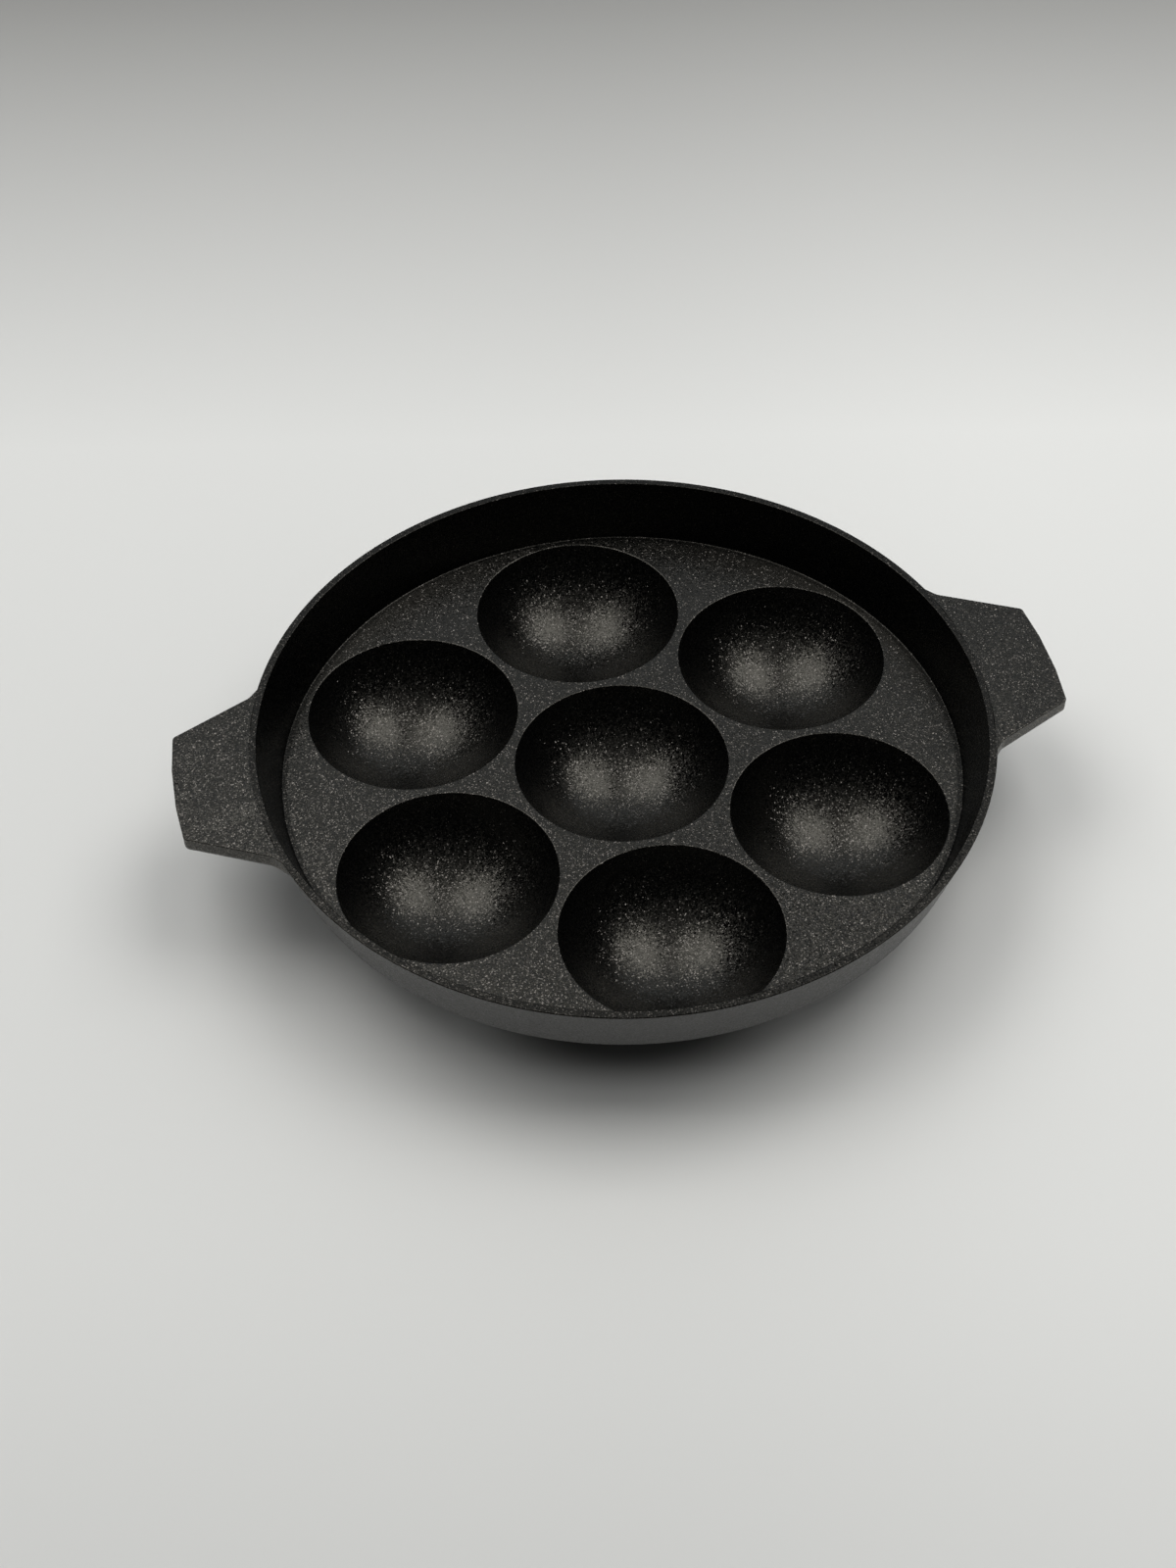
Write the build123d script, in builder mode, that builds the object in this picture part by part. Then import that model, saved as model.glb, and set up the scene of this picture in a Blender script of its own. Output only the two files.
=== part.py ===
"""Aebleskiver pan: a low round pan, cast in one shell, with seven cups and two tab handles.

The origin is on the hob under the centre cup. +Z is up and the two handles lie along X.
The casting is written as the regions a founder would name: the rim wall, the deck plate,
seven bowls that hang under the plate, and the two handles. They meet face to face.
Lengths are in millimetres and angles in degrees.
"""
import os
from math import cos, radians, sin, sqrt, tan

from build123d import *

os.makedirs("parts", exist_ok=True)

# Cups: each is a cap of a sphere, and six stand round the seventh
cup_mouth_radius = 33.4
cup_depth = 21.0
cup_web = 3.2
cup_edge_round = 0.6
outer_cups = 6
first_cup_angle = 90.0

# Bowl walls under the deck, each with a small flat to stand on
bowl_gap = 1.0
bowl_floor = 2.7
foot_flat_radius = 9.0

# Deck plate
deck_thickness = 2.8
deck_margin = 2.6
deck_seam_margin = 0.9

# Rim wall: its thickness is the land's, and it grows a little towards the deck
deck_drop = 18.8
wall_thickness = 2.6
wall_draft = 16.0
wall_inner_draft = 17.1
wall_foot_round = 0.6
wall_corner_radius = 3.5
rim_outer_round = 0.35
rim_inner_round = 0.4

# Tab handles: a bevelled trapezoid, and a ramp at each root that runs out on the rim
tab_reach = 22.6
tab_bevel = 1.3
tab_end_half = 21.1
tab_flat_half = 7.5
tab_side_angle = 26.5
tab_thickness = 5.5
tab_corner_radius = 1.6
tab_root_inset = 3.3
tab_root_radius = 6.0
tab_ramp_angle = 41.0
tab_ramp_run = 20.0
tab_lower_round = 2.0
tab_upper_round = 0.3

# Places and radii that follow from the sizes above
draft_slope = tan(radians(wall_draft))
cup_pitch = 2 * cup_mouth_radius + cup_web
cup_sphere_radius = (cup_mouth_radius**2 + cup_depth**2) / (2 * cup_depth)
cup_centre_rise = cup_sphere_radius - cup_depth
pan_height = deck_drop + cup_depth + bowl_floor
deck_level = pan_height - deck_drop
deck_underside = deck_level - deck_thickness
deck_radius = cup_pitch + cup_mouth_radius + deck_margin
rim_inner_radius = deck_radius + deck_drop * tan(radians(wall_inner_draft))
rim_outer_radius = rim_inner_radius + wall_thickness
wall_underside_radius = rim_outer_radius - (deck_drop + deck_thickness) * draft_slope

# The seam between deck and wall is a cone: it starts beyond the cup mouths on top and
# ends, underneath, just inside the wall's rounded corner
seam_top_radius = deck_radius - deck_margin + deck_seam_margin
corner_reach = wall_corner_radius * tan(radians((90 - wall_draft) / 2))
seam_low_radius = wall_underside_radius - corner_reach - rim_inner_round

# Where the cup's sphere passes the deck's underside, and the bowl that stands round it
cup_low_radius = sqrt(cup_sphere_radius**2 - (cup_centre_rise + deck_thickness) ** 2)
bowl_top_radius = cup_pitch / 2 - bowl_gap / 2

# The bowl's outside is a sphere through its top circle and its foot circle
bowl_centre_height = (bowl_top_radius**2 - foot_flat_radius**2 + deck_underside**2) / (2 * deck_underside)
bowl_radius = sqrt(foot_flat_radius**2 + bowl_centre_height**2)


def cup_name_places():
    """Return each cup's name and the centre of its mouth in plan."""
    names = ["back", "back_left", "front_left", "front", "front_right", "back_right"]
    places = [("centre", 0.0, 0.0)]
    for step in range(outer_cups):
        turn = radians(first_cup_angle + step * 360 / outer_cups)
        name = names[step] if outer_cups == len(names) else f"outer_{step + 1}"
        places.append((name, cup_pitch * cos(turn), cup_pitch * sin(turn)))
    return places


def make_rim_wall():
    """Revolve the drafted wall, with its land on top and its rounded corner below."""
    with BuildPart() as rim_wall:
        with BuildSketch(Plane.XZ) as profile:
            with BuildLine():
                Polyline(
                    (rim_inner_radius, pan_height),
                    (rim_outer_radius, pan_height),
                    (wall_underside_radius, deck_underside),
                    (seam_low_radius, deck_underside),
                    (seam_top_radius, deck_level),
                    (deck_radius, deck_level),
                    close=True,
                )
            make_face()
            foot = profile.vertices().sort_by_distance((deck_radius, deck_level))[0]
            fillet(foot, radius=wall_foot_round)
            corner = profile.vertices().sort_by_distance((wall_underside_radius, deck_underside))[0]
            fillet(corner, radius=wall_corner_radius)
            inner = profile.vertices().sort_by_distance((rim_inner_radius, pan_height))[0]
            fillet(inner, radius=rim_inner_round)
            outer = profile.vertices().sort_by_distance((rim_outer_radius, pan_height))[0]
            fillet(outer, radius=rim_outer_round)
        revolve(axis=Axis.Z)
    return rim_wall


def make_deck(places):
    """Revolve the plate and open it with the sphere of each cup."""
    with BuildPart() as deck:
        with BuildSketch(Plane.XZ):
            with BuildLine():
                Polyline(
                    (0, deck_underside),
                    (seam_low_radius, deck_underside),
                    (seam_top_radius, deck_level),
                    (0, deck_level),
                    close=True,
                )
            make_face()
        revolve(axis=Axis.Z)
        with Locations(*[(x, y, deck_level + cup_centre_rise) for _, x, y in places]):
            Sphere(cup_sphere_radius, mode=Mode.SUBTRACT)
        mouths = deck.faces().sort_by(Axis.Z)[-1].inner_wires().edges()
        fillet(mouths, radius=cup_edge_round)
    return deck


def make_bowl(x, y):
    """Revolve one bowl about its own axis, from the deck's underside down to its foot."""
    side = Plane(origin=(x, y, 0), x_dir=(1, 0, 0), z_dir=(0, -1, 0))
    with BuildPart() as bowl:
        with BuildSketch(side):
            with BuildLine():
                inside = (0, deck_level - cup_depth)
                lip = (cup_low_radius, deck_underside)
                RadiusArc(inside, lip, -cup_sphere_radius)
                Line(lip, (bowl_top_radius, deck_underside))
                RadiusArc((bowl_top_radius, deck_underside), (foot_flat_radius, 0), bowl_radius)
                Polyline((foot_flat_radius, 0), (0, 0), inside)
            make_face()
        revolve(axis=Axis((x, y, 0), (0, 0, 1)))
    return bowl


def make_pan_envelope():
    """Fill the wall's outside to its axis, as the cutter that fits the handles to it."""
    with BuildPart() as envelope:
        with BuildSketch(Plane.XZ) as profile:
            with BuildLine():
                Polyline(
                    (0, pan_height),
                    (rim_outer_radius, pan_height),
                    (wall_underside_radius, deck_underside),
                    (0, deck_underside),
                    close=True,
                )
            make_face()
            outer = profile.vertices().sort_by_distance((rim_outer_radius, pan_height))[0]
            fillet(outer, radius=rim_outer_round)
        revolve(axis=Axis.Z)
    return envelope


def make_handle(side, envelope):
    """Build one tab, flush with the rim's top; side is 1 for +X and -1 for -X."""
    end_x = rim_outer_radius + tab_reach
    corner_x = end_x - tab_bevel
    root_x = rim_outer_radius - tab_root_inset
    root_y = tab_end_half + (corner_x - root_x) * tan(radians(tab_side_angle))
    # The ramp leaves the root towards the rim and runs on inside the wall
    ramp_x = root_x - tab_ramp_run * sin(radians(tab_ramp_angle))
    ramp_y = root_y + tab_ramp_run * cos(radians(tab_ramp_angle))
    half_outline = [
        (ramp_x, ramp_y),
        (root_x, root_y),
        (corner_x, tab_end_half),
        (end_x, tab_flat_half),
    ]
    mirrored = [(x, -y) for x, y in reversed(half_outline)]
    top = Plane(origin=(0, 0, pan_height), x_dir=(side, 0, 0), z_dir=(0, 0, 1))

    with BuildPart() as handle:
        with BuildSketch(top) as outline:
            with BuildLine():
                Polyline(*half_outline, *mirrored, close=True)
            make_face()
            for end in (-1, 1):
                root = outline.vertices().sort_by_distance((root_x, end * root_y))[0]
                fillet(root, radius=tab_root_radius)
                corner = outline.vertices().sort_by_distance((corner_x, end * tab_end_half))[0]
                fillet(corner, radius=tab_corner_radius)
        extrude(amount=-tab_thickness)
        # The straight closing side stays sharp, because the wall's outside cuts it away
        inner_x = (ramp_x + root_x) / 2
        lower = handle.faces().sort_by(Axis.Z)[0].edges()
        fillet(lower.filter_by(lambda edge: reach_of(edge, side) > inner_x), radius=tab_lower_round)
        upper = handle.faces().sort_by(Axis.Z)[-1].edges()
        fillet(upper.filter_by(lambda edge: reach_of(edge, side) > inner_x), radius=tab_upper_round)
        add(envelope.part, mode=Mode.SUBTRACT)
    return handle


def reach_of(edge, side):
    """Return how far an edge's outer end stands out along X, on one side of the pan."""
    return max(side * (edge @ 0).X, side * (edge @ 1).X)


def save(built, name):
    """Label a finished piece and write it under its own name."""
    built.part.label = name
    export_step(built.part, f"parts/{name}.step")


cups = cup_name_places()
save(make_rim_wall(), "rim_wall")
save(make_deck(cups), "deck")
for cup_name, cup_x, cup_y in cups:
    save(make_bowl(cup_x, cup_y), f"{cup_name}_cup")
outside = make_pan_envelope()
save(make_handle(-1, outside), "left_handle")
save(make_handle(1, outside), "right_handle")
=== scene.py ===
"""Looks of the aebleskiver pan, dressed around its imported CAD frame.

The pan is one dark, satin-coated casting, and each region of it is a class here: the deck
plate, the seven bowls, the rim wall and the two tab handles. Every shape is a surface worked
out with numpy from the same sizes as the CAD source, in metres, on the same origin.
"""

import logging
import math
from dataclasses import dataclass, field
from enum import Enum
from typing import Union

import bmesh
import bpy
import numpy as np
from mathutils import Matrix, Vector


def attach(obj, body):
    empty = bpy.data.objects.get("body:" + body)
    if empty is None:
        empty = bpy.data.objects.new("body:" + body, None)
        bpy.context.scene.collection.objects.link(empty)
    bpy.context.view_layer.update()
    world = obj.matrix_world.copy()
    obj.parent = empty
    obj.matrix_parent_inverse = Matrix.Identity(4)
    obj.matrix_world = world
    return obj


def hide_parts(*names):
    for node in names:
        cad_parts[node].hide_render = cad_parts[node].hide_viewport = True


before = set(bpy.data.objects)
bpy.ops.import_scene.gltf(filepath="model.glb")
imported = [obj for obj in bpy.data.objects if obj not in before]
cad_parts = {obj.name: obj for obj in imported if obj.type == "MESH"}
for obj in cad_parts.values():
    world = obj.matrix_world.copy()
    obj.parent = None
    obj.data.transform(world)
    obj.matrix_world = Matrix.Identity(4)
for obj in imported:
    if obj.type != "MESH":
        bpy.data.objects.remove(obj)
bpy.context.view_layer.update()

log = logging.getLogger("aebleskiver_pan")

WELD_REACH = 4e-7
SEAM_SLACK = 1e-7
LEAST_COSINE = 1e-6
GUARD = 0.00012
SHARP_ANGLE = math.radians(38)


class Slot(Enum):
    """The record's material slots."""

    CUPS = "cup_coating"
    DECK = "deck_coating"
    WALL = "wall_coating"
    HANDLES = "handle_coating"


class Side(Enum):
    """The side of the pan that a handle stands on, as the sign of X."""

    LEFT = -1
    RIGHT = 1


@dataclass(frozen=True)
class CastingSizes:
    """Driving sizes of the casting, in metres and degrees, as in the CAD source."""

    cup_mouth_radius: float = 0.0334
    cup_depth: float = 0.0210
    cup_web: float = 0.0032
    cup_edge_round: float = 0.0006
    outer_cups: int = 6
    first_cup_angle: float = 90.0
    bowl_gap: float = 0.0010
    bowl_floor: float = 0.0027
    foot_flat_radius: float = 0.0090
    deck_thickness: float = 0.0028
    deck_margin: float = 0.0026
    deck_seam_margin: float = 0.0009
    deck_drop: float = 0.0188
    wall_thickness: float = 0.0026
    wall_draft: float = 16.0
    wall_inner_draft: float = 17.1
    wall_foot_round: float = 0.0006
    wall_corner_radius: float = 0.0035
    rim_outer_round: float = 0.00035
    rim_inner_round: float = 0.0004

    @property
    def draft_slope(self) -> float:
        """How far the wall's outside leans out for each metre that it rises."""
        return math.tan(math.radians(self.wall_draft))

    @property
    def cup_pitch(self) -> float:
        """Distance between the centres of two neighbouring cups."""
        return 2 * self.cup_mouth_radius + self.cup_web

    @property
    def sphere_radius(self) -> float:
        """Radius of the sphere that a cup's inside is a cap of."""
        return (self.cup_mouth_radius**2 + self.cup_depth**2) / (2 * self.cup_depth)

    @property
    def sphere_rise(self) -> float:
        """Height of that sphere's centre above the deck."""
        return self.sphere_radius - self.cup_depth

    @property
    def height(self) -> float:
        """Height of the rim above the hob."""
        return self.deck_drop + self.cup_depth + self.bowl_floor

    @property
    def deck_level(self) -> float:
        """Height of the deck's top."""
        return self.height - self.deck_drop

    @property
    def underside(self) -> float:
        """Height of the deck's underside."""
        return self.deck_level - self.deck_thickness

    @property
    def deck_radius(self) -> float:
        """Where the wall's inside would meet the deck without its round."""
        return self.cup_pitch + self.cup_mouth_radius + self.deck_margin

    @property
    def rim_inner_radius(self) -> float:
        """Radius of the rim's inner edge."""
        return self.deck_radius + self.deck_drop * math.tan(math.radians(self.wall_inner_draft))

    @property
    def rim_outer_radius(self) -> float:
        """Radius of the rim's outer edge, before its round."""
        return self.rim_inner_radius + self.wall_thickness

    @property
    def wall_low_radius(self) -> float:
        """Where the wall's outside would meet the underside without its round."""
        return self.rim_outer_radius - (self.deck_drop + self.deck_thickness) * self.draft_slope

    @property
    def seam_top_radius(self) -> float:
        """Radius of the seam between deck and wall, on top."""
        return self.deck_radius - self.deck_margin + self.deck_seam_margin

    @property
    def seam_low_radius(self) -> float:
        """Radius of the same seam, underneath."""
        lean = math.radians((90 - self.wall_draft) / 2)
        return self.wall_low_radius - self.wall_corner_radius * math.tan(lean) - self.rim_inner_round

    @property
    def lip_radius(self) -> float:
        """Radius of a cup where it passes the deck's underside."""
        return math.sqrt(self.sphere_radius**2 - (self.sphere_rise + self.deck_thickness) ** 2)

    @property
    def bowl_top_radius(self) -> float:
        """Outer radius of a bowl under the deck."""
        return (self.cup_pitch - self.bowl_gap) / 2

    @property
    def bowl_centre_height(self) -> float:
        """Height of the centre of a bowl's outer sphere."""
        spread = self.bowl_top_radius**2 - self.foot_flat_radius**2 + self.underside**2
        return spread / (2 * self.underside)

    def outside_radius(self, height: np.ndarray) -> np.ndarray:
        """Radius of the wall's outside at a height.

        Below the rim's round it is the draft line. In the round it is the circle that touches
        both the rim's top and the draft line.

        Args:
            height: heights above the hob.

        Returns:
            The radius at each height.
        """
        line = self.rim_outer_radius - (self.height - height) * self.draft_slope
        touch = self.rim_outer_round / math.tan(math.radians((90 - self.wall_draft) / 2))
        centre = self.rim_outer_radius - touch
        above = height - (self.height - self.rim_outer_round)
        arc = centre + np.sqrt(np.clip(self.rim_outer_round**2 - above**2, 0, None))
        round_foot = self.height - touch * math.cos(math.radians(self.wall_draft))
        return np.where(height > round_foot, arc, line)


SIZES = CastingSizes()


def unit(vectors: np.ndarray) -> np.ndarray:
    """Scale vectors in the last axis to length one."""
    return vectors / np.linalg.norm(vectors, axis=-1, keepdims=True)


def rounded(corners: np.ndarray, radii: np.ndarray, steps: int, guard: float = GUARD) -> np.ndarray:
    """Round the corners of closed outlines.

    The arc at a corner touches both sides at r / tan(a / 2) from it, where a is the angle
    between the sides. Its centre is on the bisector at r / sin(a / 2), and its points turn
    evenly from one touching point to the other. A guard point stands on each side just beyond
    both touching points, so that a flat side is also shaded flat.

    Args:
        corners: the corners, shaped (..., n, 2).
        radii: the radius at each corner, shaped (..., n); 0 keeps it sharp.
        steps: how many steps each arc has.
        guard: how far a guard point stands from a touching point.

    Returns:
        The points, shaped (..., n * (steps + 3), 2), in the order of the corners.
    """
    ahead = unit(np.roll(corners, -1, axis=-2) - corners)
    behind = -np.roll(ahead, 1, axis=-2)
    half = np.arccos(np.clip((ahead * behind).sum(-1), -1, 1)) / 2
    reach = (radii / np.tan(half))[..., None]
    centre = corners + unit(ahead + behind) * (radii / np.sin(half))[..., None]
    start, end = corners + behind * reach, corners + ahead * reach
    sweep = (math.pi - 2 * half)[..., None, None]
    share = np.linspace(0, 1, steps + 1)[:, None]
    arcs = (
        centre[..., None, :]
        + (start - centre)[..., None, :] * np.sin((1 - share) * sweep) / np.sin(sweep)
        + (end - centre)[..., None, :] * np.sin(share * sweep) / np.sin(sweep)
    )
    leave = (end + ahead * guard)[..., None, :]
    arrive = (np.roll(start, -1, axis=-2) - ahead * guard)[..., None, :]
    points = np.concatenate([arcs, leave, arrive], axis=-2)
    return points.reshape(*corners.shape[:-2], -1, 2)


def arc(centre: tuple[float, float], radius: float, start: float, end: float, steps: int) -> np.ndarray:
    """Points of a circle's arc, centre + radius * (cos a, sin a), a in even steps of degrees."""
    angle = np.radians(np.linspace(start, end, steps + 1))
    return np.array(centre) + radius * np.stack([np.cos(angle), np.sin(angle)], axis=-1)


def revolved(profile: np.ndarray, turns: np.ndarray, centre: np.ndarray) -> np.ndarray:
    """Carry a profile round a vertical axis: (cx + r cos t, cy + r sin t, z).

    Args:
        profile: radius and height of each point, shaped (n, 2).
        turns: the angles t, in radians.
        centre: the axis in plan.

    Returns:
        A grid shaped (n, turns, 3).
    """
    way = np.stack([np.cos(turns), np.sin(turns)], axis=-1)
    plan = centre + profile[:, None, :1] * way
    height = np.broadcast_to(profile[:, None, 1:], plan.shape[:2] + (1,))
    return np.concatenate([plan, height], axis=-1)


class Shell:
    """Collects grids of points as one closed mesh, and welds the points that they share."""

    def __init__(self) -> None:
        """Start with no points and no faces."""
        self._points: list[np.ndarray] = []
        self._faces: list[np.ndarray] = []
        self._count = 0

    def grid(self, points: np.ndarray, wrap_rows: bool = False, wrap_columns: bool = False,
             keep: Union[np.ndarray, None] = None) -> None:
        """Add a grid of points and the four-sided faces between them.

        Args:
            points: shaped (rows, columns, 3).
            wrap_rows: join the last row to the first.
            wrap_columns: join the last column to the first.
            keep: which faces to keep, shaped as the faces are; all of them if left out.
        """
        rows, columns = points.shape[:2]
        index = self._count + np.arange(rows * columns).reshape(rows, columns)
        if wrap_rows:
            index = np.vstack([index, index[:1]])
        if wrap_columns:
            index = np.hstack([index, index[:, :1]])
        faces = np.stack([index[:-1, :-1], index[:-1, 1:], index[1:, 1:], index[1:, :-1]], axis=-1)
        self._points.append(points.reshape(-1, 3))
        self._faces.append(faces[keep] if keep is not None else faces.reshape(-1, 4))
        self._count += rows * columns

    def build(self, name: str) -> bpy.types.Object:
        """Weld the grids, turn the faces outwards and return the object, smooth but for its edges."""
        mesh = bpy.data.meshes.new(name)
        mesh.from_pydata(np.concatenate(self._points).tolist(), [], np.concatenate(self._faces).tolist())
        work = bmesh.new()
        work.from_mesh(mesh)
        bmesh.ops.remove_doubles(work, verts=work.verts, dist=WELD_REACH)
        bmesh.ops.recalc_face_normals(work, faces=work.faces)
        work.to_mesh(mesh)
        open_edges = sum(1 for edge in work.edges if len(edge.link_faces) != 2)
        work.free()
        mesh.shade_smooth()
        mesh.set_sharp_from_angle(angle=SHARP_ANGLE)
        piece = bpy.data.objects.new(name, mesh)
        bpy.context.scene.collection.objects.link(piece)
        log.info("%s: %d faces, %d open edges", name, len(mesh.polygons), open_edges)
        return piece


Number = Union[float, "Value"]


class Value:
    """A socket that carries a number; arithmetic on it adds Math nodes."""

    def __init__(self, bench: "Bench", socket: bpy.types.NodeSocket) -> None:
        """Wrap one output socket of a bench's node."""
        self.bench = bench
        self.socket = socket

    def _math(self, operation: str, *others: Number, clamp: bool = False) -> "Value":
        """Add a Math node that works on this value and the others."""
        inputs = dict(enumerate((self, *others)))
        return self.bench.value("ShaderNodeMath", {"operation": operation, "use_clamp": clamp}, inputs)

    def __add__(self, other: Number) -> "Value":
        """Add."""
        return self._math("ADD", other)

    __radd__ = __add__

    def __mul__(self, other: Number) -> "Value":
        """Multiply."""
        return self._math("MULTIPLY", other)

    __rmul__ = __mul__

    def __sub__(self, other: Number) -> "Value":
        """Subtract."""
        return self._math("SUBTRACT", other)

    def __rsub__(self, other: float) -> "Value":
        """Subtract from a plain number."""
        return self.bench.value("ShaderNodeMath", {"operation": "SUBTRACT"}, {0: other, 1: self})

    def below(self, edge: Number) -> "Value":
        """1 where the value is below an edge, else 0."""
        return self._math("LESS_THAN", edge)

    def clamped(self) -> "Value":
        """The value kept from 0 to 1."""
        return self._math("ADD", 0.0, clamp=True)

    def ramp(self, low: float, high: float, to_low: float = 0.0, to_high: float = 1.0) -> "Value":
        """Ease from one level to another as the value goes from low to high."""
        inputs = {"Value": self, "From Min": low, "From Max": high, "To Min": to_low, "To Max": to_high}
        return self.bench.value("ShaderNodeMapRange", {"interpolation_type": "SMOOTHSTEP"}, inputs)


Feed = Union[float, tuple, Value]


class Bench:
    """Adds nodes to one node tree."""

    def __init__(self, tree: bpy.types.NodeTree) -> None:
        """Clear the tree and work on it."""
        self.tree = tree
        self.tree.nodes.clear()

    def node(self, kind: str, settings: Union[dict, None] = None,
             inputs: Union[dict, None] = None) -> bpy.types.Node:
        """Add any node.

        Args:
            kind: the node's type.
            settings: the node's own options, set first.
            inputs: a value or a link for each socket, by name or number.

        Returns:
            The node.
        """
        node = self.tree.nodes.new(kind)
        for key, setting in (settings or {}).items():
            setattr(node, key, setting)
        for key, feed in (inputs or {}).items():
            if isinstance(feed, Value):
                self.tree.links.new(feed.socket, node.inputs[key])
            else:
                node.inputs[key].default_value = feed
        return node

    def value(self, kind: str, settings: Union[dict, None] = None, inputs: Union[dict, None] = None,
              output: Union[int, str] = 0) -> Value:
        """Add a node and return one of its outputs."""
        return Value(self, self.node(kind, settings, inputs).outputs[output])

    def mix(self, share: Number, first: Feed, second: Feed) -> Value:
        """Mix two colours by a share from 0 to 1."""
        inputs = {"Factor": share, 6: first, 7: second}
        return self.value("ShaderNodeMix", {"data_type": "RGBA"}, inputs, output=2)

    def vector(self, operation: str, first: Feed, second: Feed = None, scale: Number = None,
               output: Union[int, str] = 0) -> Value:
        """Add a Vector Math node."""
        inputs = {0: first}
        inputs.update({1: second} if second is not None else {})
        inputs.update({"Scale": scale} if scale is not None else {})
        return self.value("ShaderNodeVectorMath", {"operation": operation}, inputs, output)


def grey(level: float, warmth: float = 0.0) -> tuple[float, float, float, float]:
    """A linear grey; warmth lifts its red and lowers its blue by that share."""
    return (level * (1 + warmth), level, level * (1 - warmth), 1.0)


@dataclass(frozen=True)
class SatinCoating:
    """Sprayed charcoal coating: satin and near black, with a fine sandy grain.

    The grain is a bump, and Voronoi cells that each lie at their own slight tilt and have their
    own gloss. A few of a second set of cells are metal flakes: they tilt further and mirror more,
    so they sparkle in and round a lamp's reflection. The pan's outside, where the surface faces
    somewhat down, is more matt and painted a lighter grey, as painted light from the lit floor
    below; underneath it goes back to the near black coat. Each fade is a pair of levels of the
    normal's height, between which the outside's share, and with it that painted light, goes from 0 to 1.
    """

    slot: Slot
    tone: float = 0.0008
    tone_spread: tuple[float, float] = (0.8, 1.25)
    warmth: float = -0.2
    painted_floor_light_fade: tuple[float, float] = (-0.06, -0.2)
    painted_floor_light_end: tuple[float, float] = (-0.66, -0.29)
    painted_floor_light_tone: float = 0.095
    outside_roughness: float = 0.45
    roughness: float = 0.285
    gloss: float = 0.54
    gloss_tint: tuple[float, float, float, float] = (1.0, 0.97, 0.87, 1.0)
    clouding: float = 0.03
    cloud_size: float = 0.022
    bump_size: float = 0.0006
    bump_depth: float = 0.00003
    grain_size: float = 0.00042
    grain_tilt: float = 0.18
    grain_spread: float = 0.30
    flake_size: float = 0.00030
    flake_share: float = 0.13
    flake_tilt: float = 0.34
    flake_roughness: float = 0.22
    flake_tone: float = 0.12
    flake_warmth: float = 0.06

    def make(self) -> bpy.types.Material:
        """Build the material of this coating."""
        material = bpy.data.materials.new(self.slot.value)
        material.use_nodes = True
        bench = Bench(material.node_tree)
        place = bench.value("ShaderNodeTexCoord", output="Object")

        draw = self.cells(bench, place, self.grain_size)
        share = bench.value("ShaderNodeSeparateColor", None, {"Color": draw}, "Red")
        lot = self.cells(bench, place, self.flake_size)
        flake = bench.value("ShaderNodeSeparateColor", None, {"Color": lot}, "Red")
        flake = flake.below(self.flake_share)
        noise = {"Vector": place, "Scale": 1 / self.cloud_size, "Detail": 3.0}
        cloud = bench.value("ShaderNodeTexNoise", None, noise, "Fac")
        noise = {"Vector": place, "Scale": 1 / self.bump_size, "Detail": 2.0, "Roughness": 0.6}
        sand = bench.value("ShaderNodeTexNoise", None, noise, "Fac")

        facing = bench.value("ShaderNodeNewGeometry", output="Normal")
        lean = bench.vector("SUBTRACT", draw, (0.5, 0.5, 0.5))
        tilt = bench.vector("SCALE", lean, scale=flake * self.flake_tilt + self.grain_tilt)
        tilted = bench.vector("NORMALIZE", bench.vector("ADD", facing, tilt))
        bumps = {"Strength": 1.0, "Distance": self.bump_depth, "Height": sand, "Normal": tilted}
        bump = bench.value("ShaderNodeBump", None, bumps)

        dark, light = (grey(spread * self.tone, self.warmth) for spread in self.tone_spread)
        pigment = bench.mix(sand.ramp(0.35, 0.75), dark, light)
        rough = (cloud - 0.5) * (2 * self.clouding) + (share - 0.5) * self.grain_spread + self.roughness
        rough = rough + flake * (self.flake_roughness - self.roughness)
        upward = bench.value("ShaderNodeSeparateXYZ", None, {"Vector": facing}, "Z")
        # Painted light: surfaces facing somewhat down are painted a lighter grey, standing in for light
        # from the lit floor below; straight underneath they stay near black
        outside = upward.ramp(*self.painted_floor_light_fade) * upward.ramp(*self.painted_floor_light_end)
        metal = flake * (1.0 - outside)
        colour = bench.mix(metal, pigment, grey(self.flake_tone, self.flake_warmth))
        colour = bench.mix(outside, colour, grey(self.painted_floor_light_tone))
        rough = rough + outside * (self.outside_roughness - self.roughness)
        shader = bench.value(
            "ShaderNodeBsdfPrincipled",
            None,
            {
                "Base Color": colour,
                "Metallic": metal,
                "Roughness": rough,
                "Specular IOR Level": self.gloss,
                "Specular Tint": self.gloss_tint,
                "Normal": bump,
            },
        )
        bench.node("ShaderNodeOutputMaterial", None, {"Surface": shader})
        return material

    @staticmethod
    def cells(bench: Bench, place: Value, size: float) -> Value:
        """A random colour for each cell of a given size."""
        inputs = {"Vector": place, "Scale": 1 / size}
        return bench.value("ShaderNodeTexVoronoi", {"feature": "F1"}, inputs, "Color")


@dataclass
class Region:
    """One region of the casting, with its finish."""

    coating: SatinCoating
    sizes: CastingSizes = SIZES
    material: bpy.types.Material = field(init=False)

    def __post_init__(self) -> None:
        """Make the finish once for all the pieces of the region."""
        self.material = self.coating.make()

    def dress(self, piece: bpy.types.Object, node: str) -> bpy.types.Object:
        """Give a piece its finish, let it ride on the pan and stand for its CAD node."""
        piece.data.materials.append(self.material)
        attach(piece, "root")
        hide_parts(node)
        log.info("%s stands for %s", piece.name, node)
        return piece


@dataclass(frozen=True)
class Cup:
    """One cup: its name, the centre of its mouth in plan, and the turns its rings are sampled at."""

    name: str
    centre: np.ndarray
    turns: np.ndarray


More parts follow.
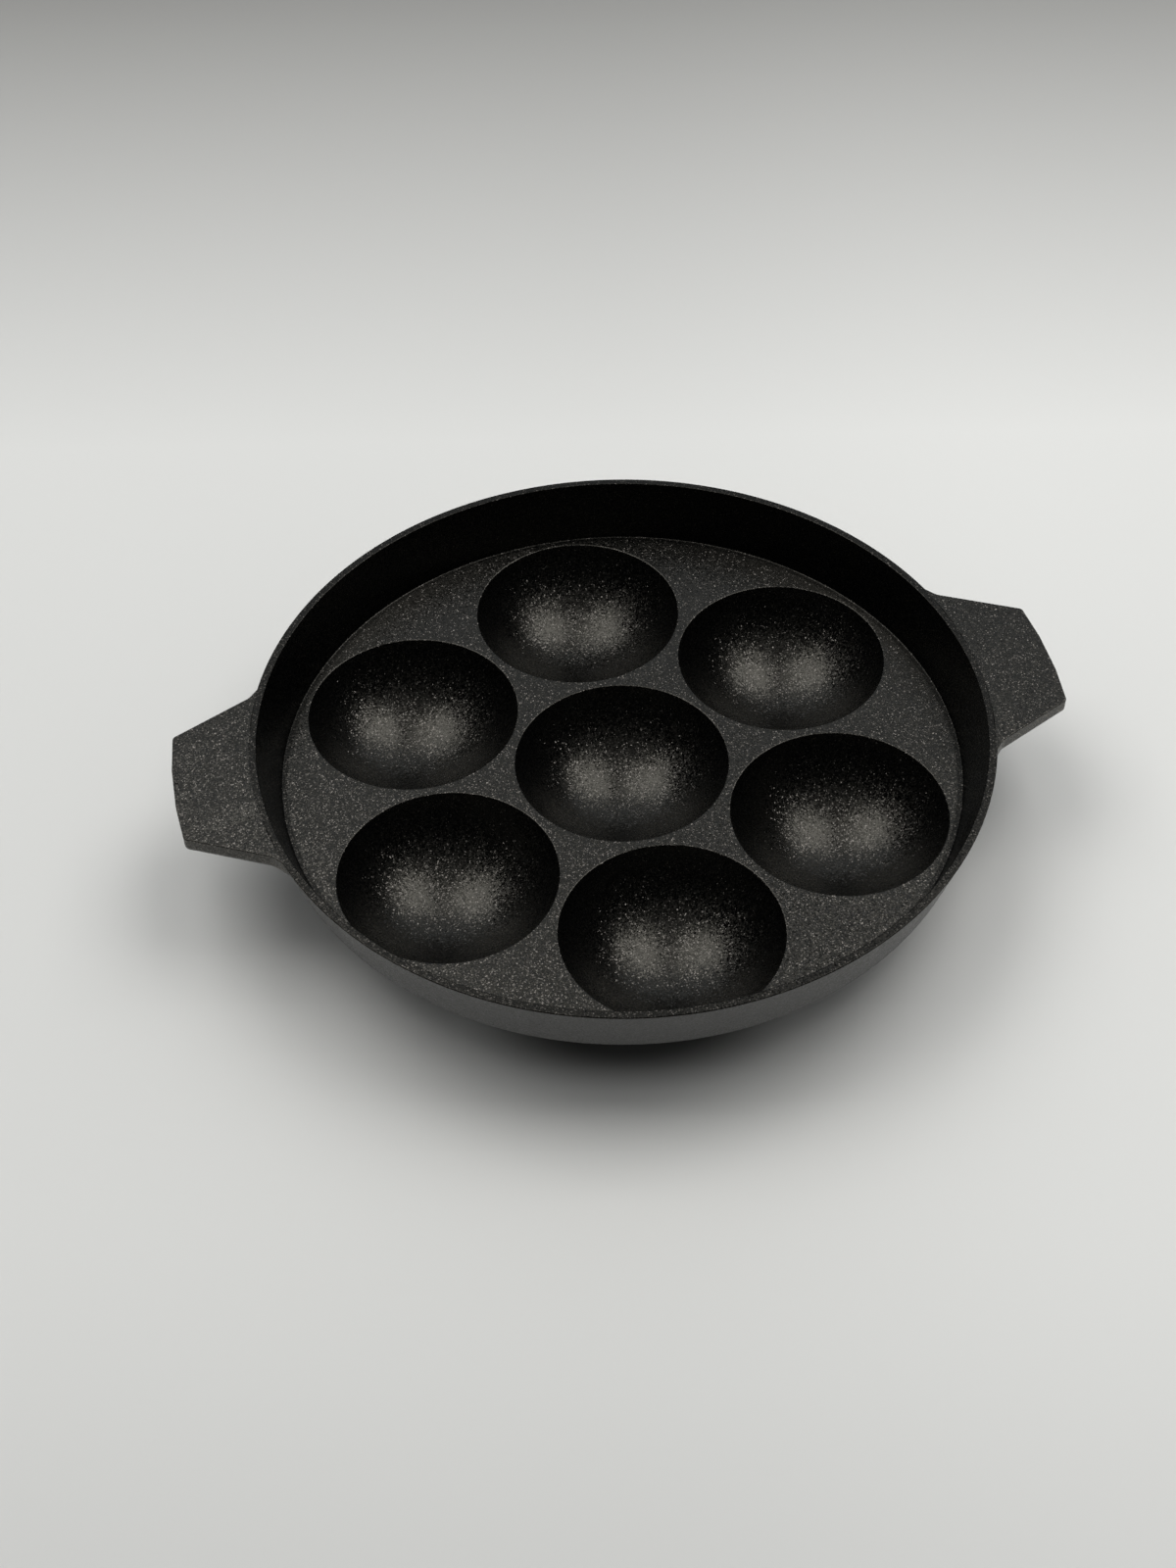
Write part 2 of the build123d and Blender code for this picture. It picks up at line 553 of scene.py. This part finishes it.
@dataclass(frozen=True)
class CupLayout:
    """Seven cups: one in the middle and six round it."""

    sizes: CastingSizes = SIZES
    samples: int = 192
    names: tuple[str, ...] = ("back", "back_left", "front_left", "front", "front_right", "back_right")

    def cups(self) -> list[Cup]:
        """Place the cups and sample their rings.

        The turns are even, so two neighbours mirror each other across the line halfway between
        them. In an outer cup the turn nearest to each end of such a line, where it meets the
        seam with the wall, is moved onto it.

        Returns:
            The centre cup and then the outer ones.
        """
        even = np.arange(self.samples) * 2 * math.pi / self.samples
        found = [Cup("centre", np.zeros(2), even)]
        for step, name in enumerate(self.names):
            direction = math.radians(self.sizes.first_cup_angle + step * 360 / self.sizes.outer_cups)
            centre = self.sizes.cup_pitch * np.array([math.cos(direction), math.sin(direction)])
            turns = even.copy()
            for side in (-1, 1):
                end = direction + side * math.pi / self.sizes.outer_cups
                corner = self.sizes.seam_top_radius * np.array([math.cos(end), math.sin(end)]) - centre
                turn = math.atan2(corner[1], corner[0]) % (2 * math.pi)
                turns[np.argmin(np.abs(turns - turn))] = turn
            found.append(Cup(name, centre, turns))
        return found


@dataclass
class Deck(Region):
    """The plate between the cups, with the mouth of each cup in it."""

    cups: list[Cup] = field(default_factory=list)
    band_steps: int = 8
    round_steps: int = 8

    def mouth_profile(self) -> np.ndarray:
        """Radius and height from a cup's lip underneath up to the flat deck.

        It follows the cup's sphere, then the round that touches both the sphere and the deck:
        a ball of radius r whose centre is r below the deck and R + r from the sphere's centre.

        Returns:
            The profile, shaped (n, 2).
        """
        s = self.sizes
        round_radius, sphere = s.cup_edge_round, s.sphere_radius
        centre_height = s.deck_level + s.sphere_rise
        ball_drop = s.sphere_rise + round_radius
        ball_radius = math.sqrt((sphere + round_radius) ** 2 - ball_drop**2)
        low = math.degrees(math.asin((s.sphere_rise + s.deck_thickness) / sphere))
        touch = math.degrees(math.atan2(ball_drop, ball_radius))
        band = arc((0.0, centre_height), sphere, -low, -touch, self.band_steps)
        guard = math.degrees(GUARD / sphere) - low
        band = np.insert(band, 1, arc((0.0, centre_height), sphere, guard, guard, 0), axis=0)
        ball = (ball_radius, s.deck_level - round_radius)
        edge = arc(ball, round_radius, 180 - touch, 90, self.round_steps)
        return np.concatenate([band, edge[1:], edge[-1:] + (GUARD, 0.0)])

    def cell_reach(self, cup: Cup) -> tuple[np.ndarray, np.ndarray]:
        """How far a cup's share of the deck reaches in each turn, and whether the seam ends it.

        The share ends at the line halfway to the nearest neighbour, at (d / 2) / cos(turn from
        it), or at the seam's circle, whichever is nearer.

        Args:
            cup: the cup.

        Returns:
            The distances, and a mask of the turns that end on the seam.
        """
        way = np.stack([np.cos(cup.turns), np.sin(cup.turns)], axis=-1)
        others = np.array([other.centre for other in self.cups if other is not cup]) - cup.centre
        spans = np.linalg.norm(others, axis=-1)
        facing = way @ (others / spans[:, None]).T
        halfway = spans / 2 / np.maximum(facing, LEAST_COSINE)
        halfway = np.where(facing > LEAST_COSINE, halfway, np.inf).min(axis=1)
        along = way @ cup.centre
        seam = -along + np.sqrt(along**2 - cup.centre @ cup.centre + self.sizes.seam_top_radius**2)
        return np.minimum(halfway, seam), seam <= halfway + SEAM_SLACK

    def build(self) -> bpy.types.Object:
        """Lay one ring-shaped cell round each cup; the cells share their outer edges.

        A cell runs from its outer edge underneath to the cup's lip, up through the mouth and
        back out over the deck. On the seam its two outer edges are joined by a cone.

        Returns:
            The dressed piece.
        """
        s, shell = self.sizes, Shell()
        shrink = s.seam_low_radius / s.seam_top_radius
        for cup in self.cups:
            way = np.stack([np.cos(cup.turns), np.sin(cup.turns)], axis=-1)
            reach, on_seam = self.cell_reach(cup)
            mouth = revolved(self.mouth_profile(), cup.turns, cup.centre)
            edge = cup.centre + way * reach[:, None]
            top = np.concatenate([edge, np.full((len(edge), 1), s.deck_level)], axis=-1)
            low = np.concatenate([edge * shrink, np.full((len(edge), 1), s.underside)], axis=-1)
            cell = np.concatenate([low[None], mouth, top[None]])
            keep = np.ones((len(cell), len(edge)), bool)
            keep[-1] = on_seam & np.roll(on_seam, -1)
            shell.grid(cell, wrap_rows=True, wrap_columns=True, keep=keep)
        return self.dress(shell.build("deck_plate"), "deck")

    def seam_turns(self) -> np.ndarray:
        """The turns about the pan's axis at which the deck has points on its seam with the wall."""
        found = []
        for cup in self.cups:
            reach, on_seam = self.cell_reach(cup)
            way = np.stack([np.cos(cup.turns), np.sin(cup.turns)], axis=-1)
            edge = (cup.centre + way * reach[:, None])[on_seam]
            found.append(np.arctan2(edge[:, 1], edge[:, 0]))
        return np.unique(np.round(np.concatenate(found), 7))


@dataclass
class Bowls(Region):
    """The bowls that hang under the deck, one for each cup."""

    inside_steps: int = 44
    outside_steps: int = 30
    foot_steps: int = 4
    foot_edge_round: float = 0.0012

    def profile(self) -> np.ndarray:
        """Radius and height round a bowl's section, from the axis inside to the axis below.

        Inside it is the cup's sphere. Outside it is the sphere through the top circle and the
        foot's circle, and a small round leads from it into the flat foot.

        Returns:
            The profile, shaped (n, 2).
        """
        s = self.sizes
        centre = (0.0, s.deck_level + s.sphere_rise)
        low = math.degrees(math.asin((s.sphere_rise + s.deck_thickness) / s.sphere_radius))
        inside = arc(centre, s.sphere_radius, -90, -low, self.inside_steps)
        guard = arc(centre, s.sphere_radius, -low - math.degrees(GUARD / s.sphere_radius), -low, 1)[:1]
        inside = np.concatenate([inside[:-1], guard, inside[-1:]])
        outer_centre = (0.0, s.bowl_centre_height)
        outer_radius = math.hypot(s.foot_flat_radius, s.bowl_centre_height)
        top = math.degrees(math.asin((s.bowl_centre_height - s.underside) / outer_radius))
        # A ball of the round's radius rests on the foot's plane inside the outer sphere
        ball = self.foot_edge_round
        ball_drop = s.bowl_centre_height - ball
        ball_radius = math.sqrt((outer_radius - ball) ** 2 - ball_drop**2)
        touch = math.degrees(math.atan2(ball_drop, ball_radius))
        dome = arc(outer_centre, outer_radius, -top, -touch, self.outside_steps)
        edge = arc((ball_radius, ball), ball, -touch, -90, self.foot_steps)
        foot = np.array([[ball_radius - GUARD, 0.0], [0.0, 0.0]])
        return np.concatenate([inside, dome, edge[1:], foot])

    def build(self, cups: list[Cup]) -> list[bpy.types.Object]:
        """Carry the section round each cup's axis."""
        made = []
        for cup in cups:
            shell = Shell()
            shell.grid(revolved(self.profile(), cup.turns, cup.centre), wrap_columns=True)
            made.append(self.dress(shell.build(f"{cup.name}_bowl"), f"{cup.name}_cup"))
        return made


@dataclass
class RimWall(Region):
    """The drafted wall round the deck, with its land on top and its rounded corner below."""

    corner_steps: int = 12

    def build(self, turns: np.ndarray) -> bpy.types.Object:
        """Carry the rounded section round the pan's axis, at the turns where the deck has points."""
        s = self.sizes
        corners = np.array([
            (s.seam_top_radius, s.deck_level),
            (s.deck_radius, s.deck_level),
            (s.rim_inner_radius, s.height),
            (s.rim_outer_radius, s.height),
            (s.wall_low_radius, s.underside),
            (s.seam_low_radius, s.underside),
        ])
        radii = np.array([
            0.0, s.wall_foot_round, s.rim_inner_round, s.rim_outer_round, s.wall_corner_radius, 0.0
        ])
        # The land's two rounds leave less room between them for guard points
        section = rounded(corners, radii, self.corner_steps, guard=GUARD / 4)
        shell = Shell()
        shell.grid(revolved(section, turns, np.zeros(2)), wrap_rows=True, wrap_columns=True)
        return self.dress(shell.build("rim_wall_shell"), "rim_wall")


@dataclass
class Tab(Region):
    """A tab handle: a bevelled trapezoid, flush with the rim, with a ramp at each root."""

    reach: float = 0.0226
    bevel: float = 0.0013
    end_half: float = 0.0211
    flat_half: float = 0.0075
    side_angle: float = 26.5
    thickness: float = 0.0055
    corner_radius: float = 0.0016
    root_inset: float = 0.0033
    root_radius: float = 0.0060
    ramp_angle: float = 41.0
    lower_round: float = 0.0020
    upper_round: float = 0.0003
    end_round: float = 0.0060
    root_fillet: float = 0.0018
    least_radius: float = 0.00002
    arc_steps: int = 8
    upper_steps: int = 4

    def half_path(self) -> np.ndarray:
        """Corners of the half outline, from the ramp's foot on the rim to the middle of the end.

        The ramp leaves the root corner p along the unit vector w, and meets the rim's circle of
        radius R at p + t w, where t = -p.w - sqrt((p.w)^2 - p.p + R^2).

        Returns:
            The corners, shaped (5, 2).
        """
        rim = self.sizes.rim_outer_radius
        end_x = rim + self.reach
        corner_x, root_x = end_x - self.bevel, rim - self.root_inset
        root_y = self.end_half + (corner_x - root_x) * math.tan(math.radians(self.side_angle))
        lean = math.radians(self.ramp_angle)
        root, way = np.array([root_x, root_y]), np.array([-math.sin(lean), math.cos(lean)])
        run = -root @ way - math.sqrt((root @ way) ** 2 - root @ root + rim**2)
        return np.array([
            root + run * way,
            root,
            (corner_x, self.end_half),
            (end_x, self.flat_half),
            (end_x, 0.0),
        ])

    def outlines(self, inset: np.ndarray, height: np.ndarray) -> np.ndarray:
        """The outline in plan, pulled in by an inset, once for each height.

        Each side moves in by the inset, so a corner moves by inset * (n1 + n2) / (1 + n1.n2),
        where n1 and n2 are its sides' inward normals. The ramp then runs on to the circle of the
        wall at that height. Outer corners lose the inset from their radius and the root gains it.

        Args:
            inset: how far the outline is pulled in, one for each row.
            height: the height of each row.

        Returns:
            The rows, shaped (rows, points, 2), from one ramp's foot round to the other's.
        """
        path = self.half_path()
        ahead = unit(np.diff(path, axis=0))
        normal = np.stack([ahead[:, 1], -ahead[:, 0]], axis=-1)
        before, after = np.vstack([normal[:1], normal]), np.vstack([normal, normal[-1:]])
        shift = (before + after) / (1 + (before * after).sum(-1, keepdims=True))
        corners = path + inset[:, None, None] * shift
        foot, way = corners[:, 0], ahead[0]
        along = foot @ way
        slide = -along + np.sqrt(along**2 - (foot**2).sum(-1) + self.sizes.outside_radius(height) ** 2)
        corners[:, 0] = foot + slide[:, None] * way
        radii = np.stack([
            np.zeros_like(inset),
            self.root_radius + inset,
            np.maximum(self.corner_radius - inset, self.least_radius),
            np.full_like(inset, self.end_round),
            np.zeros_like(inset),
        ], axis=-1)
        # The closing side of the outline is left out: its guard points are the last two
        half = rounded(corners, radii, self.arc_steps)[:, :-2]
        return np.concatenate([half, half[:, ::-1] * (1, -1)], axis=1)

    def build(self, side: Side) -> bpy.types.Object:
        """Stack the outlines down the rounded edge, and close them on the wall's outside.

        The rows go from the rim out over the top, down the edge, in under the tab, through the
        fillet under its root and back up the wall, where each point has the turn of the outline's
        point at its height and the wall's own radius.

        Args:
            side: which side of the pan the tab is on.

        Returns:
            The dressed piece.
        """
        s = self.sizes
        top, bottom = s.height, s.height - self.thickness
        upper = arc((0.0, 0.0), self.upper_round, 90, 0, self.upper_steps)
        lower = arc((0.0, 0.0), self.lower_round, 0, -90, self.arc_steps)
        inset = np.concatenate([
            [self.upper_round + GUARD], self.upper_round - upper[:, 0], [0.0, 0.0],
            self.lower_round - lower[:, 0], [self.lower_round + GUARD],
        ])
        height = np.concatenate([
            [top], top - self.upper_round + upper[:, 1],
            [top - self.upper_round - GUARD, bottom + self.lower_round + GUARD],
            bottom + self.lower_round + lower[:, 1], [bottom],
        ])
        plan = self.outlines(inset, height)
        level = np.broadcast_to(height[:, None, None], plan.shape[:2] + (1,))
        edge = np.concatenate([plan, level], axis=-1)
        wall = unit(plan) * s.outside_radius(height)[:, None, None]
        contact = np.concatenate([wall, level], axis=-1)
        fillet = self.fillet_rows(plan[-1], bottom)
        rows = np.concatenate([edge, fillet, contact[::-1]])
        shell = Shell()
        shell.grid(rows * (side.value, 1, 1), wrap_rows=True)
        name = side.name.lower()
        return self.dress(shell.build(f"{name}_tab_handle"), f"{name}_handle")

    def fillet_rows(self, plan: np.ndarray, bottom: float) -> np.ndarray:
        """The fillet between the tab's underside and the wall.

        In each turn it is an arc of radius f that touches the underside at f * tan(37 deg) from
        the wall, for a wall that leans out by 16 deg, and ends on the wall. f shrinks with the
        tab's width to nothing at the ramps' feet.

        Args:
            plan: the innermost outline of the underside, shaped (points, 2).
            bottom: the height of the underside.

        Returns:
            The rows, shaped (rows, points, 3).
        """
        s = self.sizes
        draft = math.radians(s.wall_draft)
        wall = float(s.outside_radius(np.array(bottom)))
        width = np.clip(np.linalg.norm(plan, axis=-1) - wall, 0, None)
        size = np.minimum(self.root_fillet, 0.5 * width)
        touch = size * math.tan((math.pi / 2 - draft) / 2)
        angle = np.linspace(math.pi / 2, math.pi - draft, self.arc_steps + 1)[:, None]
        radius = wall + touch + size * np.cos(angle)
        height = bottom - size + size * np.sin(angle)
        return np.concatenate([unit(plan) * radius[..., None], height[..., None]], axis=-1)


@dataclass(frozen=True)
class Softbox:
    """A broad lamp: the way to it from the pan, its distance, two sides, power and colour."""

    name: str
    way: tuple[float, float, float]
    distance: float
    width: float
    length: float
    power: float
    colour: tuple[float, float, float] = (1.0, 0.985, 0.955)


@dataclass
class Studio:
    """The pale floor, the lamps, the room and the camera, in a frame turned to the camera.

    Lengths are in metres and angles in degrees. A fade is the pair of places, or of cosines,
    that a change goes on between, and then, for the floor, its two levels.
    """

    turn: float = -10.731
    lens: float = 52.145
    sensor: float = 36.0
    clip_start: float = 0.01
    distance: float = 0.71007
    elevation: float = 47.206
    roll: float = -1.0876
    aside: float = 0.010543
    above: float = 0.007268
    floor_half: float = 9.0
    floor_squares: int = 24
    floor_tone: tuple[float, float, float, float] = (0.88, 0.89, 0.885, 1.0)
    # Painted shade: behind the pan the floor is darkened towards this tone, where the lamps light it
    # less
    far_shade_tone: tuple[float, float, float, float] = (0.31, 0.31, 0.305, 1.0)
    far_shade_start: float = 0.19
    far_shade_rate: float = 2.7
    # Painted shade: the floor darkens a little in front and to the left
    near_shade_fade: tuple[float, ...] = (-0.14, -0.30, 0.0, 0.10)
    left_shade_fade: tuple[float, ...] = (0.16, -0.02, 0.0, 0.07)
    # Painted shadow: a darker patch on the floor under the pan's near side
    painted_shadow_place: float = -0.085
    painted_shadow_squeeze: float = 0.5
    painted_shadow_fade: tuple[float, ...] = (0.0255, 0.009, 0.0, 0.78)
    lamps: tuple[Softbox, ...] = (
        Softbox("right_softbox", (0.4260, 0.2420, 0.8717), 1.853, width=1.125, length=1.260, power=11.3),
        Softbox("left_softbox", (-0.4150, 0.2690, 0.8691), 1.853, width=1.125, length=1.260, power=10.5),
        Softbox("ceiling_glow", (0.0, 0.0273, 0.9996), 2.6, width=3.2, length=3.2, power=4.7),
        Softbox(
            "back_glow", (0.0, 0.7660, 0.6428), 1.8,
            width=2.4, length=0.9, power=3.0, colour=(0.95, 1.0, 1.05),
        ),
    )
    room_level: float = 0.32
    mirrored_level: float = 0.004
    front_lean: float = 18.0
    front_fade: tuple[float, float] = (0.70, 0.93)
    backdrop_level: float = 0.60
    backdrop_tone: tuple[float, float, float, float] = (1.0, 1.0, 0.98, 1.0)
    backdrop_fade: tuple[float, float] = (0.7, 1.9)

    @property
    def target(self) -> Vector:
        """The middle of the deck's top."""
        return Vector((0.0, 0.0, SIZES.deck_level))

    @property
    def turned(self) -> Matrix:
        """The turn from the camera's own frame to the pan's."""
        return Matrix.Rotation(math.radians(self.turn), 4, "Z")

    @property
    def stand(self) -> Matrix:
        """The frame that the camera and the lamps are placed in: at the target, turned."""
        return Matrix.Translation(self.target) @ self.turned

    def set_camera(self) -> None:
        """Stand the camera where the photograph was taken from.

        It looks down at the elevation from straight in front, rolls about its own axis, and
        stands a little aside and above, so that the deck's middle falls off the picture's centre.
        """
        tilt, roll = math.radians(self.elevation), math.radians(self.roll)
        back = Vector((0.0, -math.cos(tilt), math.sin(tilt)))
        right = Vector((1.0, 0.0, 0.0))
        up = back.cross(right)
        turned_right = math.cos(roll) * right + math.sin(roll) * up
        turned_up = math.cos(roll) * up - math.sin(roll) * right
        place = back * self.distance - turned_right * self.aside - turned_up * self.above
        axes = Matrix((turned_right, turned_up, back)).transposed().to_4x4()
        data = bpy.data.cameras.new("camera")
        data.lens, data.sensor_width, data.clip_start = self.lens, self.sensor, self.clip_start
        camera = bpy.data.objects.new("camera", data)
        camera.matrix_world = self.stand @ Matrix.Translation(place) @ axes
        bpy.context.scene.collection.objects.link(camera)
        bpy.context.scene.camera = camera

    def set_lamps(self) -> None:
        """Hang the lamps, each facing the pan with its width from left to right."""
        for lamp in self.lamps:
            data = bpy.data.lights.new(lamp.name, "AREA")
            data.shape, data.size, data.size_y = "RECTANGLE", lamp.width, lamp.length
            data.energy, data.color = lamp.power, lamp.colour
            way = Vector(lamp.way).normalized()
            side = Vector((0.0, 1.0, 0.0)).cross(way).normalized()
            axes = Matrix((side, way.cross(side), way)).transposed().to_4x4()
            place = Matrix.Translation(way * lamp.distance)
            hung = bpy.data.objects.new(lamp.name, data)
            hung.visible_camera = False
            hung.matrix_world = self.stand @ place @ axes
            bpy.context.scene.collection.objects.link(hung)

    def lay_floor(self) -> None:
        """Lay the pale floor, a flat sheet with painted shade that darkens it behind the pan."""
        edge = np.linspace(-self.floor_half, self.floor_half, self.floor_squares + 1)
        across, along = np.meshgrid(edge, edge, indexing="ij")
        points = np.stack([across, along, np.zeros_like(across)], axis=-1).reshape(-1, 3)
        index = np.arange(len(points)).reshape(len(edge), len(edge))
        faces = np.stack([index[:-1, :-1], index[1:, :-1], index[1:, 1:], index[:-1, 1:]], axis=-1)
        mesh = bpy.data.meshes.new("floor")
        mesh.from_pydata(points.tolist(), [], faces.reshape(-1, 4).tolist())
        floor = bpy.data.objects.new("floor", mesh)
        bpy.context.scene.collection.objects.link(floor)
        mesh.materials.append(self.floor_finish())

    def floor_finish(self) -> bpy.types.Material:
        """Matt pale paper, with painted shade behind the pan, and a little in front and to the left.

        It is darkest in a painted shadow under the pan's near side. Far off, beyond the lamps' reach,
        the camera sees it in the backdrop's own tone.

        Returns:
            The material.
        """
        material = bpy.data.materials.new("pale_floor")
        material.use_nodes = True
        bench = Bench(material.node_tree)
        place = bench.value("ShaderNodeTexCoord", output="Object")
        turned = bench.value(
            "ShaderNodeVectorRotate",
            {"rotation_type": "Z_AXIS"},
            {"Vector": place, "Angle": -math.radians(self.turn)},
        )
        along = bench.value("ShaderNodeSeparateXYZ", None, {"Vector": turned}, "Y")
        across = bench.value("ShaderNodeSeparateXYZ", None, {"Vector": turned}, "X")
        # Painted shade: the floor darkens behind the pan
        far = ((along - self.far_shade_start) * self.far_shade_rate).clamped()
        colour = bench.mix(far, self.floor_tone, self.far_shade_tone)
        # Painted shade: a little darker in front and to the left
        shade = along.ramp(*self.near_shade_fade) + across.ramp(*self.left_shade_fade)
        # Painted shadow: a contact shadow under the pan's near side, deeper than the lamps cast
        painted_shadow_spot = {"X": across * self.painted_shadow_squeeze, "Y": along - self.painted_shadow_place}
        painted_shadow_spot = bench.value("ShaderNodeCombineXYZ", None, painted_shadow_spot)
        shade = shade + bench.vector("LENGTH", painted_shadow_spot, output="Value").ramp(*self.painted_shadow_fade)
        colour = bench.mix(shade.clamped(), colour, (0.0, 0.0, 0.0, 1.0))
        paper = bench.value("ShaderNodeBsdfDiffuse", None, {"Color": colour})
        backdrop = {"Color": self.backdrop_tone, "Strength": self.backdrop_level}
        glow = bench.value("ShaderNodeEmission", None, backdrop)
        distance = bench.vector("LENGTH", place, output="Value")
        seen = bench.value("ShaderNodeLightPath", output="Is Camera Ray")
        share = distance.ramp(*self.backdrop_fade) * seen
        shader = bench.value("ShaderNodeMixShader", None, {0: share, 1: paper, 2: glow})
        bench.node("ShaderNodeOutputMaterial", None, {"Surface": shader})
        return material

    def set_world(self) -> None:
        """A soft room light that the coat barely mirrors; the camera sees a pale backdrop instead.

        Whoever takes the picture stands in front of it, so little of it comes from there.
        """
        world = bpy.data.worlds.new("room")
        bpy.context.scene.world = world
        world.use_nodes = True
        bench = Bench(world.node_tree)
        seen = bench.value("ShaderNodeLightPath", output="Is Camera Ray")
        mirrored = bench.value("ShaderNodeLightPath", output="Is Glossy Ray")
        lean = math.radians(self.front_lean)
        front = self.turned @ Vector((0.0, -math.cos(lean), math.sin(lean)))
        way = bench.value("ShaderNodeTexCoord", output="Generated")
        facing = bench.vector("DOT_PRODUCT", way, tuple(front), output="Value")
        room = self.room_level * (1.0 - facing.ramp(*self.front_fade))
        level = seen * (self.backdrop_level - room) + room
        level = level + mirrored * (self.mirrored_level - room)
        background = {"Color": self.backdrop_tone, "Strength": level}
        shader = bench.value("ShaderNodeBackground", None, background)
        bench.node("ShaderNodeOutputWorld", None, {"Surface": shader})

    def build(self) -> None:
        """Set up the whole studio."""
        self.set_camera()
        self.set_lamps()
        self.lay_floor()
        self.set_world()
        log.info("studio: camera, %d lamps and floor", len(self.lamps))


def main() -> None:
    """Build the regions of the casting in order, then the studio."""
    logging.basicConfig(level=logging.INFO, format="%(name)s: %(message)s")
    bpy.context.scene.view_settings.view_transform = "Standard"
    cups = CupLayout().cups()
    deck = Deck(SatinCoating(Slot.DECK), cups=cups)
    deck.build()
    Bowls(SatinCoating(Slot.CUPS)).build(cups)
    RimWall(SatinCoating(Slot.WALL, gloss=0.31, flake_tone=0.07)).build(deck.seam_turns())
    tab = Tab(SatinCoating(Slot.HANDLES))
    for side in Side:
        tab.build(side)
    Studio().build()


if __name__ == "__main__":
    main()
